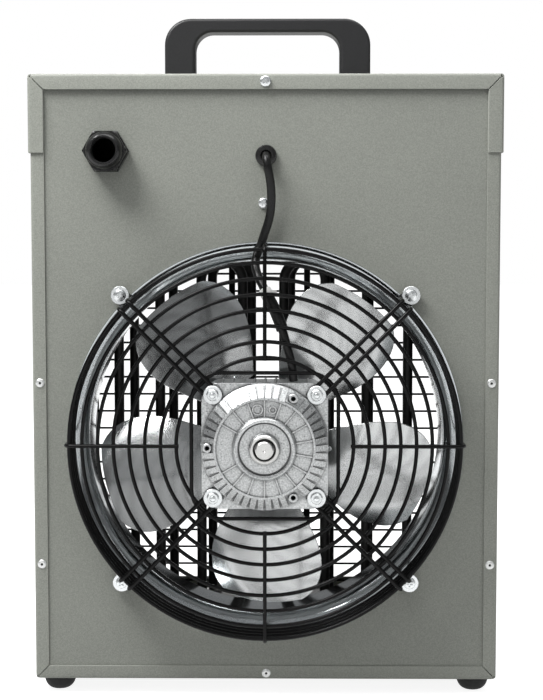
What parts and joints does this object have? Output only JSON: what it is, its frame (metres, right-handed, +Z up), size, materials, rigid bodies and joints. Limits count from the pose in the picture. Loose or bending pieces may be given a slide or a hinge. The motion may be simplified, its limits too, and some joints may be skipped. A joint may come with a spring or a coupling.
{
  "type": "box fan heater",
  "caption": "Portable box-shaped fan heater: steel case, wire-guarded axial fan, tubular heating elements, outlet grille, knobs and carrying handle.",
  "frame": {"origin": "middle of the bottom of the whole heater, on the floor between the four feet", "axes": "+Z up; +Y along the air flow, from the guarded intake side to the outlet grille; +X to the right seen from the intake side"},
  "size_m": [0.4126, 0.3982, 0.6138],
  "materials": {
    "case_coat": "fine textured grey powder coat",
    "panel_coat": "fine textured grey powder coat",
    "galvanised": "galvanised sheet",
    "heat_dark": "heat-darkened sheet",
    "ring_steel": "bright spun steel",
    "black_wire": "black enamelled wire",
    "cast_aluminium": "die cast, lightly blasted",
    "lamination": "varnished laminations",
    "ground_steel": "ground",
    "blade_aluminium": "satin rolled sheet",
    "element_sheath": "black oxidised steel sheath",
    "zinc": "bright zinc plate",
    "handle_plastic": "satin moulded",
    "black_nylon": "satin moulded nylon",
    "knob_plastic": "satin moulded",
    "control_plastic": "moulded",
    "cable_jacket": "satin jacket",
    "black_rubber": "matt"
  },
  "bodies": {
    "case": {"cable_bush": "black_nylon", "carry_handle": "handle_plastic", "casing_wrap": "case_coat", "cover_screw": "zinc", "fan_cable": "cable_jacket", "fan_guard": "black_wire", "foot_front_left": "black_rubber", "foot_front_right": "black_rubber", "foot_rear_left": "black_rubber", "foot_rear_right": "black_rubber", "front_bearing": "ground_steel", "front_panel": "panel_coat", "gland_body": "black_nylon", "gland_dome_nut": "black_nylon", "gland_locknut": "black_nylon", "gland_seal": "black_rubber", "guard_screw_1": "zinc", "guard_screw_2": "zinc", "guard_screw_3": "zinc", "guard_screw_4": "zinc", "handle_screw_left": "zinc", "handle_screw_right": "zinc", "heater_element_1": "element_sheath", "heater_element_2": "element_sheath", "heater_element_3": "element_sheath", "heater_element_4": "element_sheath", "heater_element_5": "element_sheath", "heater_element_6": "element_sheath", "heater_element_7": "element_sheath", "heater_element_8": "element_sheath", "heater_plate": "galvanised", "inlet_ring": "ring_steel", "left_baffle": "heat_dark", "mode_switch": "control_plastic", "motor_end_bell": "cast_aluminium", "motor_housing": "cast_aluminium", "motor_screw_1": "zinc", "motor_screw_2": "zinc", "motor_screw_3": "zinc", "motor_screw_4": "zinc", "outlet_grille": "black_wire", "partition_shelf": "galvanised", "rear_bearing": "ground_steel", "rear_panel": "panel_coat", "right_baffle": "heat_dark", "shelf_screw": "zinc", "stator_core": "lamination", "terminal_block": "control_plastic", "thermostat": "control_plastic", "top_cover": "case_coat"},
    "fan": {"motor_shaft": "ground_steel", "rotor_core": "lamination", "fan_hub": "galvanised", "fan_blade_1": "blade_aluminium", "fan_blade_2": "blade_aluminium", "fan_blade_3": "blade_aluminium", "fan_blade_4": "blade_aluminium", "fan_blade_5": "blade_aluminium"},
    "mode_selector": {"mode_knob": "knob_plastic"},
    "thermostat_dial": {"thermostat_knob": "knob_plastic"}
  },
  "joints": [
    {"name": "fan_spin", "type": "hinge", "parent": "case", "child": "fan", "pos_m": [0, 0, 0.2287], "axis": [0, 1, 0], "continuous": true},
    {"name": "mode_turn", "type": "hinge", "parent": "case", "child": "mode_selector", "pos_m": [-0.075, 0.19, 0.487], "axis": [0, -1, 0], "range_deg": [0, 135]},
    {"name": "thermostat_turn", "type": "hinge", "parent": "case", "child": "thermostat_dial", "pos_m": [0.075, 0.19, 0.487], "axis": [0, -1, 0], "range_deg": [-135, 135]}
  ]
}
